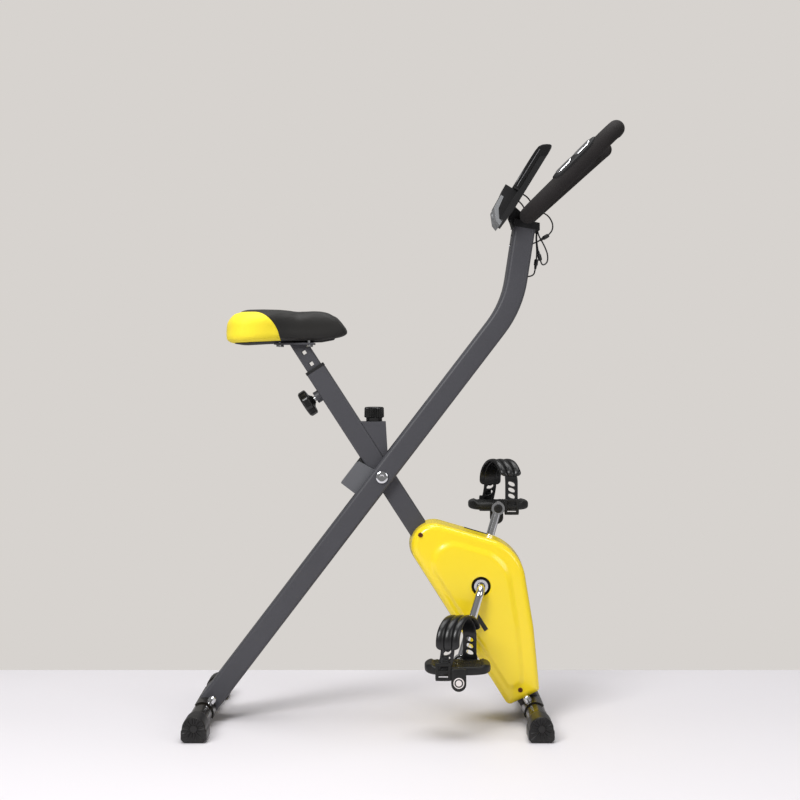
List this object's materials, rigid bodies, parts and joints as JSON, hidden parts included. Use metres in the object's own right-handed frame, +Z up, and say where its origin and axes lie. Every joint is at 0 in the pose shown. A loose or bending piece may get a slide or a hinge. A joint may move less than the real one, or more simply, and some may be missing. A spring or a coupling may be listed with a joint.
{
  "type": "folding exercise bike",
  "caption": "Folding upright exercise bike: crossed steel tubes on a pivot, yellow belt-drive casing, padded saddle, foam handlebar grips and a small console.",
  "frame": {"origin": "on the floor, at the middle of the bike's overall length and width", "axes": "+X forwards, +Y to the rider's left, +Z up"},
  "size_m": [0.805, 0.416, 1.124],
  "materials": {
    "powder_coat": "dark grey semi-gloss powder coat",
    "bracket_coat": "mid-grey powder coat",
    "gloss_black_tube": "gloss black enamel",
    "chrome": "bright chrome plate",
    "steel": "turned steel",
    "cast_iron": "painted cast iron",
    "yellow_shell": "gloss yellow moulded plastic",
    "black_plastic": "fine-textured black plastic",
    "gloss_black_plastic": "gloss black plastic",
    "silver_plastic": "silver painted plastic",
    "rubber": "black rubber",
    "foam": "black closed-cell foam",
    "seat_cover": "black and yellow coated fabric over foam",
    "display_glass": "grey display window",
    "cord_black": "black cable jacket",
    "belt_rubber": "ribbed drive belt"
  },
  "bodies": {
    "main_frame": {"seat_tube": "powder_coat", "seat_bush": "black_plastic", "crank_shell": "powder_coat", "bearings": "steel", "front_saddle": "gloss_black_tube", "front_stabiliser": "gloss_black_tube", "front_end_caps": "black_plastic", "front_foot_bolts": "chrome", "right_casing": "yellow_shell", "left_casing": "yellow_shell", "casing_screws": "steel", "knob_bracket": "powder_coat", "flywheel_bracket": "powder_coat", "drive_belt": "belt_rubber", "tension_cable": "cord_black"},
    "handlebar_post": {"post_tube": "powder_coat", "stop_bracket": "bracket_coat", "stop_buffer": "rubber", "pivot_bolt": "chrome", "rear_saddle": "gloss_black_tube", "rear_stabiliser": "gloss_black_tube", "rear_end_caps": "black_plastic", "rear_foot_bolts": "chrome", "handlebar": "powder_coat", "right_grip": "foam", "left_grip": "foam", "pulse_carriers": "black_plastic", "pulse_plates": "chrome", "console_mount": "black_plastic", "console_shell": "black_plastic", "console_bezel": "silver_plastic", "console_screen": "display_glass", "tablet_rest": "gloss_black_plastic", "console_screws": "chrome", "console_lead_a": "cord_black", "console_lead_b": "cord_black", "pulse_lead": "cord_black", "sensor_lead": "cord_black", "speed_lead": "cord_black", "lead_plugs": "black_plastic"},
    "seat": {"seat_post": "powder_coat", "seat_plate": "powder_coat", "seat_base": "black_plastic", "seat_cushion": "seat_cover", "seat_bolts": "steel"},
    "pull_pin": {"height_pull_pin": "black_plastic"},
    "crank_set": {"crank": "chrome", "crank_pulley": "black_plastic", "pedal_axles": "steel"},
    "flywheel_set": {"flywheel": "cast_iron", "flywheel_shaft": "steel"},
    "magnet_arm_set": {"magnet_arm": "steel"},
    "tension_dial": {"tension_knob": "gloss_black_plastic"},
    "right_pedal_set": {"right_pedal": "black_plastic", "right_strap": "black_plastic", "right_pedal_weight": "cast_iron"},
    "left_pedal_set": {"left_pedal": "black_plastic", "left_strap": "black_plastic", "left_pedal_weight": "cast_iron"},
    "button": {"mode_button": "silver_plastic"}
  },
  "joints": [
    {"name": "fold", "type": "hinge", "parent": "main_frame", "child": "handlebar_post", "pos_m": [-0.04476, 0, 0.46267], "axis": [0, -1, 0], "range_deg": [0, 37]},
    {"name": "seat_height", "type": "slide", "parent": "main_frame", "child": "seat", "axis": [-0.5432, 0, 0.8396], "range_m": [-0.025, 0.075]},
    {"name": "pin_pull", "type": "slide", "parent": "main_frame", "child": "pull_pin", "axis": [-0.8396, 0, -0.5432], "range_m": [0, 0.01], "stiffness_N_per_m": 900, "springref_m": -0.004},
    {"name": "crank_turn", "type": "hinge", "parent": "main_frame", "child": "crank_set", "pos_m": [0.142, 0, 0.258], "axis": [0, 1, 0], "continuous": true},
    {"name": "flywheel_turn", "type": "hinge", "parent": "main_frame", "child": "flywheel_set", "pos_m": [0.18641, 0, 0.17034], "axis": [0, 1, 0], "continuous": true},
    {"name": "right_pedal_turn", "type": "hinge", "parent": "crank_set", "child": "right_pedal_set", "pos_m": [0.1014, -0.15, 0.1234], "axis": [0, 1, 0], "continuous": true},
    {"name": "left_pedal_turn", "type": "hinge", "parent": "crank_set", "child": "left_pedal_set", "pos_m": [0.1826, 0.15, 0.3926], "axis": [0, 1, 0], "continuous": true},
    {"name": "tension_turn", "type": "hinge", "parent": "main_frame", "child": "tension_dial", "pos_m": [-0.06, 0, 0.58], "axis": [0, 0, 1], "range_deg": [0, 300]},
    {"name": "magnet_swing", "type": "hinge", "parent": "main_frame", "child": "magnet_arm_set", "pos_m": [0.12611, 0, 0.18254], "axis": [0, -1, 0], "range_deg": [0, 8.1]},
    {"name": "button_press", "type": "slide", "parent": "handlebar_post", "child": "button", "axis": [0.9863, 0, 0.165], "range_m": [0, 0.0012], "stiffness_N_per_m": 400, "springref_m": -0.001}
  ],
  "couplings": [
    {"joint": "flywheel_turn", "follows": "crank_turn", "ratio": 5.2308},
    {"joint": "magnet_swing", "follows": "tension_turn", "ratio": 0.026667}
  ]
}
